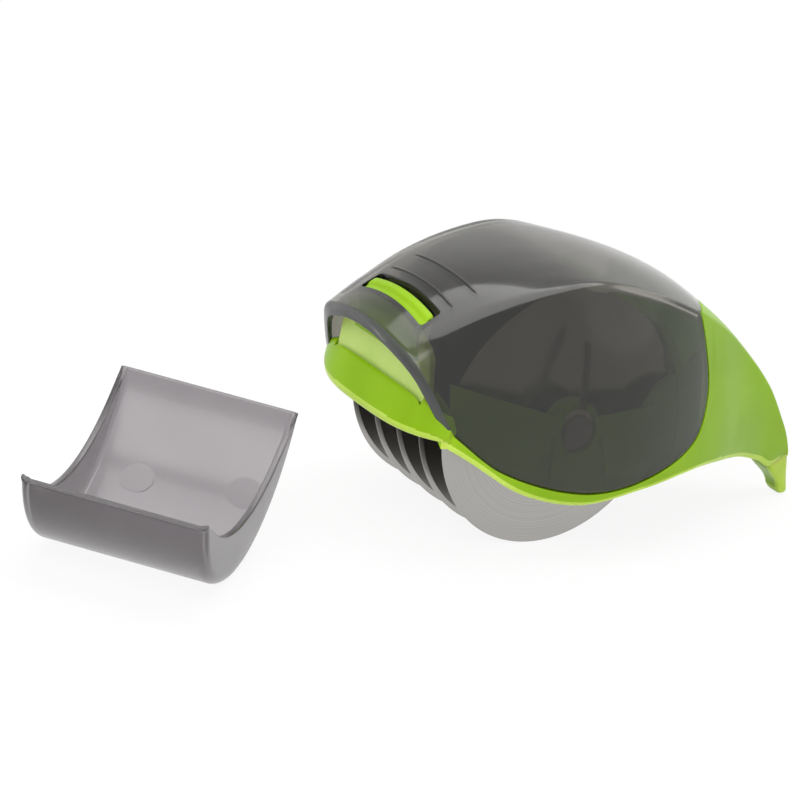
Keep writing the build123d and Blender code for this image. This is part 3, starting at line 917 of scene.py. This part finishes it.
def guard_place(column, row, inside):
    """A place on the guard's outer or inner side, with its long edges rounded."""
    share = guard_across[column]
    angle = math.radians(guard_from + (guard_to - guard_from) * share)
    along, depth = guard_lines[inside][column][row]
    fall = rounding_inset(min(share, 1 - share) * guard_arc, 0.45)
    reach = guard_radius - depth + (0.6 * fall if inside else -fall)
    return guard_point(along, reach * math.cos(angle), reach * math.sin(angle))


smoked_guard = walled("smoked_guard", guard_columns, len(guard_lines[0][0]) - 1, guard_place)

# The round marks of the mould's ejector pins, inside the guard's tall wall.
mark_reach, mark_radius, mark_height = 34.3, 0.004, 0.0012
for along, angle in ((-10.0, -52.0), (15.0, -46.0)):
    side, up = math.cos(math.radians(angle)), math.sin(math.radians(angle))
    outward = Vector((-side * math.sin(guard_turn), side * math.cos(guard_turn), up))
    bpy.ops.object.select_all(action="DESELECT")
    bpy.ops.mesh.primitive_cylinder_add(
        vertices=64, radius=mark_radius, depth=mark_height,
        location=guard_point(along, mark_reach * side, mark_reach * up),
        rotation=outward.to_track_quat("Z", "Y").to_euler(),
    )
    mark = bpy.context.object
    bpy.ops.object.transform_apply(location=True, rotation=True, scale=True)
    apply_modifier(smoked_guard, "BOOLEAN", operation="UNION", object=mark, solver="EXACT")
    bpy.data.meshes.remove(mark.data)
polished(smoked_guard)

# The guard's plastic is lightly frosted, so that it looks a little milky and blurs what is behind it.
dress(smoked_guard, smoked_plastic("frosted smoked SAN", "#928D90", "#999497", 0.18, 0.28, 0.93))
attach(smoked_guard, "guard")
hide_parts("blade_guard")

# Studio: a plain white paper floor that keeps the tool's soft shadow, a white surround, and large soft lamps.
# The camera sees floor and surround as white, also in the blades and through the smoked plastic.
def seen_light(tree):
    """One where the camera looks, also in a mirror or through clear plastic, and nought for other light."""
    path = add_node(tree, "ShaderNodeLightPath", {})
    seen = path.outputs["Is Camera Ray"]
    for ray in ("Is Glossy Ray", "Is Transmission Ray"):
        seen = add_node(tree, "ShaderNodeMath", {0: seen, 1: path.outputs[ray]}, operation="MAXIMUM")
    return seen


white = (1.0, 1.0, 1.0, 1.0)
bpy.ops.object.select_all(action="DESELECT")
bpy.ops.mesh.primitive_plane_add(size=8, location=(0, 0, -0.0002))
floor = bpy.context.object
floor.name = "studio_floor"
material, tree, places = start_material("white paper floor")
fibre = add_node(tree, "ShaderNodeTexNoise", {"Vector": places, "Scale": 300.0, "Detail": 3.0})
tint = add_node(tree, "ShaderNodeValToRGB", {"Fac": fibre}, [(0.3, "#F2F2F2"), (0.7, "#F7F7F7")])
paper = add_node(tree, "ShaderNodeBsdfPrincipled", {"Base Color": tint, "Roughness": 0.9})
glow = add_node(tree, "ShaderNodeEmission", {"Color": white, "Strength": 1.0})
part = add_node(tree, "ShaderNodeMath", {0: seen_light(tree), 1: 0.9}, operation="MULTIPLY")
mix = add_node(tree, "ShaderNodeMixShader", {0: part, 1: paper, 2: glow})
add_node(tree, "ShaderNodeOutputMaterial", {"Surface": mix})
dress(floor, material)

world = bpy.data.worlds.new("white surround")
bpy.context.scene.world = world
world.use_nodes = True
tree = world.node_tree
tree.nodes.clear()
strength = add_node(tree, "ShaderNodeMapRange", {"Value": seen_light(tree), "To Min": 0.4, "To Max": 1.0})
sky = add_node(tree, "ShaderNodeBackground", {"Color": white, "Strength": strength})
add_node(tree, "ShaderNodeOutputWorld", {"Surface": sky})

lamp_aim = Vector((-0.02, 0, 0.03))
for name, place, size, power in (
    ("lamp_left", (-1.1, -0.5, 1.0), 1.4, 15.0),
    ("lamp_top", (0.2, 0.2, 1.4), 1.6, 14.0),
    ("lamp_right", (1.0, -0.9, 0.7), 1.2, 0.8),
):
    lamp = bpy.data.lights.new(name, "AREA")
    lamp.shape = "DISK"
    lamp.size = size
    lamp.energy = power
    holder = bpy.data.objects.new(name, lamp)
    bpy.context.collection.objects.link(holder)
    holder.location = place
    holder.rotation_euler = (lamp_aim - Vector(place)).to_track_quat("-Z", "Y").to_euler()

# Camera at the photograph's viewpoint, with a long lens from the front left and a little above. It is rolled
# so that the tool stands tilted as in the photograph.
camera = bpy.data.cameras.new("camera")
camera.lens = 180.0
camera.sensor_width = 36.0
camera.clip_start = 0.01
viewer = bpy.data.objects.new("camera", camera)
bpy.context.collection.objects.link(viewer)
viewer.location = (-0.566658, -0.710594, 0.339066)
viewer.rotation_euler = tuple(math.radians(angle) for angle in (70.46918, -10.76307, -33.20732))
bpy.context.scene.camera = viewer
bpy.context.scene.view_settings.view_transform = "Standard"
